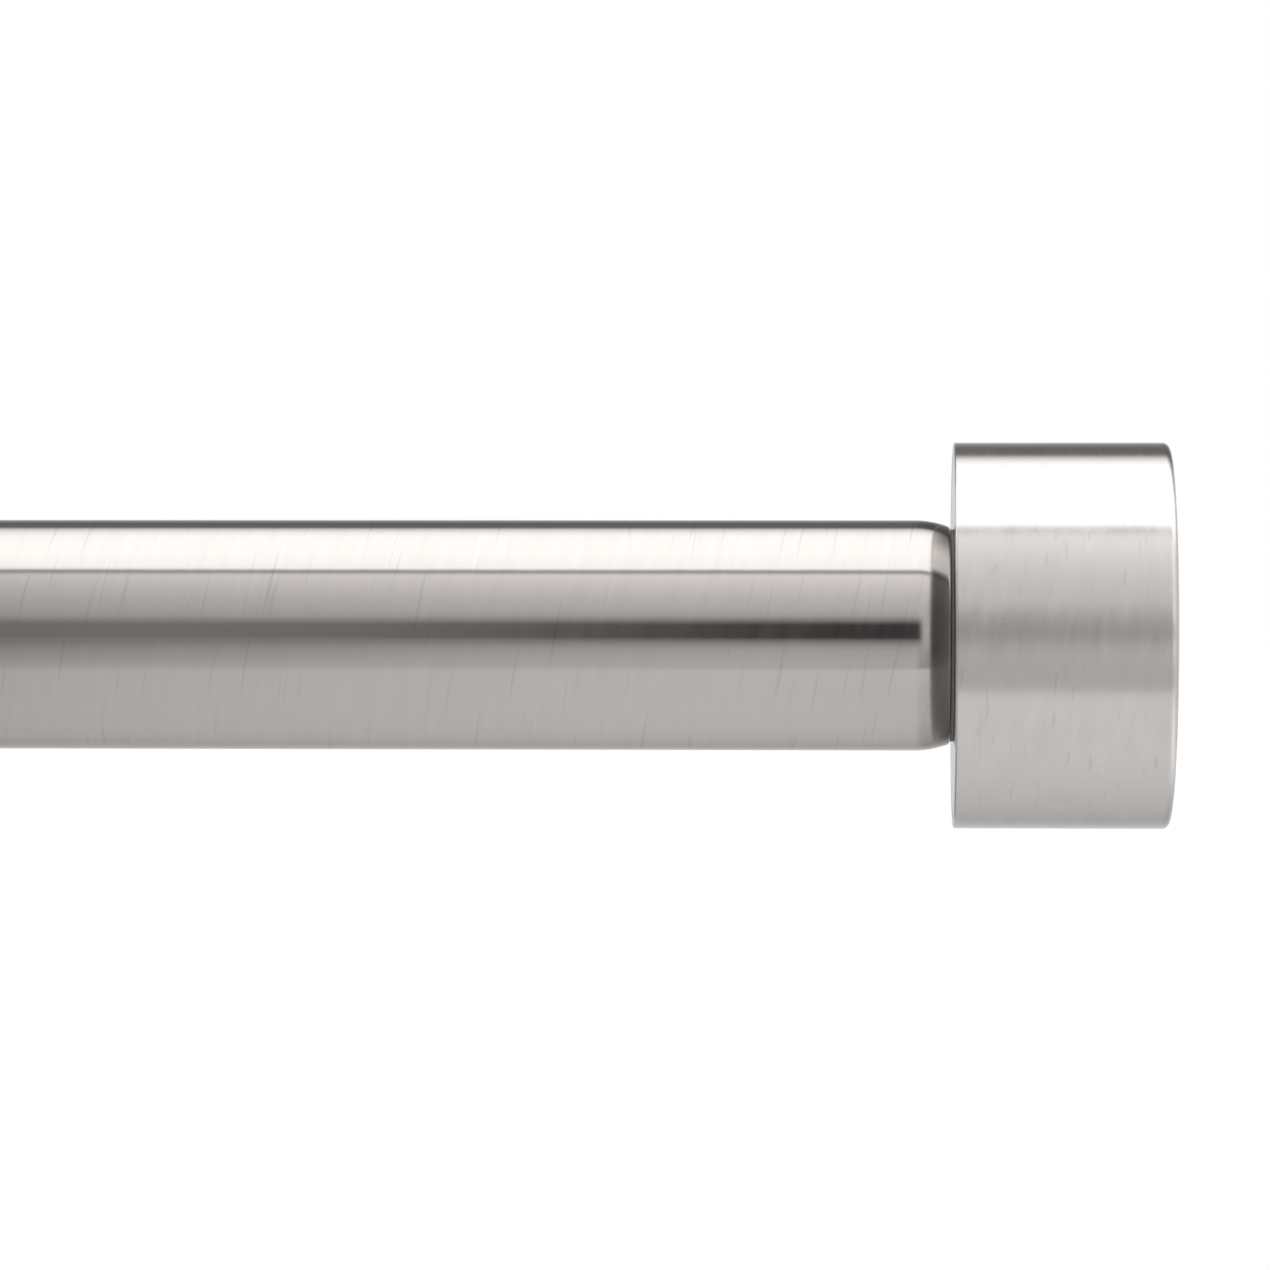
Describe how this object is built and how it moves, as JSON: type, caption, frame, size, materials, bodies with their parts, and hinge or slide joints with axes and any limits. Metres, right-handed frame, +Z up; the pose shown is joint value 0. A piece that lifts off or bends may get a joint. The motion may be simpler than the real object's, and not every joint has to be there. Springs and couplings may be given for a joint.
{
  "type": "extendable curtain rod",
  "caption": "Telescoping round steel curtain rod with a brushed nickel finish and a flat-ended cylindrical cap screwed to each end.",
  "frame": {"origin": "on the rod's axis, half way between the two caps' end faces at rest", "axes": "+X along the rod, towards the cap on the wider tube; +Z up; the rod is turned about X, so Y and Z are alike apart from the six-sided nuts"},
  "size_m": [0.8674, 0.0426, 0.0426],
  "materials": {
    "brushed_nickel_plate": "brushed nickel plate, clear coated",
    "zinc_plated_steel": "bright zinc plate",
    "grey_nylon": "moulded nylon, fine matt",
    "natural_nylon": "moulded natural nylon",
    "grey_fibre": "grey vulcanised fibre"
  },
  "bodies": {
    "outer_rod": {"outer_tube": "brushed_nickel_plate", "mouth_bush": "grey_nylon", "right_end_insert": "natural_nylon", "right_end_nut": "zinc_plated_steel"},
    "glide": {"glide": "natural_nylon"},
    "inner_rod": {"inner_tube": "brushed_nickel_plate", "left_end_insert": "natural_nylon", "left_end_nut": "zinc_plated_steel"},
    "right_washer": {"right_washer": "grey_fibre"},
    "right_cap": {"right_cap_shell": "brushed_nickel_plate", "right_cap_back_plate": "brushed_nickel_plate", "right_cap_boss": "zinc_plated_steel", "right_cap_stud": "zinc_plated_steel"},
    "left_washer": {"left_washer": "grey_fibre"},
    "left_cap": {"left_cap_shell": "brushed_nickel_plate", "left_cap_back_plate": "brushed_nickel_plate", "left_cap_boss": "zinc_plated_steel", "left_cap_stud": "zinc_plated_steel"}
  },
  "joints": [
    {"name": "rod_extension", "type": "slide", "parent": "outer_rod", "child": "glide", "axis": [-1, 0, 0], "range_m": [-0.1088, 0.3992]},
    {"name": "inner_rod_turn", "type": "hinge", "parent": "glide", "child": "inner_rod", "pos_m": [0, 0, 0], "axis": [-1, 0, 0], "continuous": true},
    {"name": "right_cap_travel", "type": "slide", "parent": "outer_rod", "child": "right_washer", "axis": [1, 0, 0], "range_m": [0, 0.0061]},
    {"name": "right_cap_turn", "type": "hinge", "parent": "right_washer", "child": "right_cap", "pos_m": [0, 0, 0], "axis": [1, 0, 0], "range_deg": [0, 2160]},
    {"name": "left_cap_travel", "type": "slide", "parent": "inner_rod", "child": "left_washer", "axis": [-1, 0, 0], "range_m": [0, 0.0061]},
    {"name": "left_cap_turn", "type": "hinge", "parent": "left_washer", "child": "left_cap", "pos_m": [0, 0, 0], "axis": [-1, 0, 0], "range_deg": [0, 2160]}
  ],
  "couplings": [
    {"joint": "right_cap_travel", "follows": "right_cap_turn", "m_per_rad": 0.00015915},
    {"joint": "left_cap_travel", "follows": "left_cap_turn", "m_per_rad": 0.00015915}
  ]
}
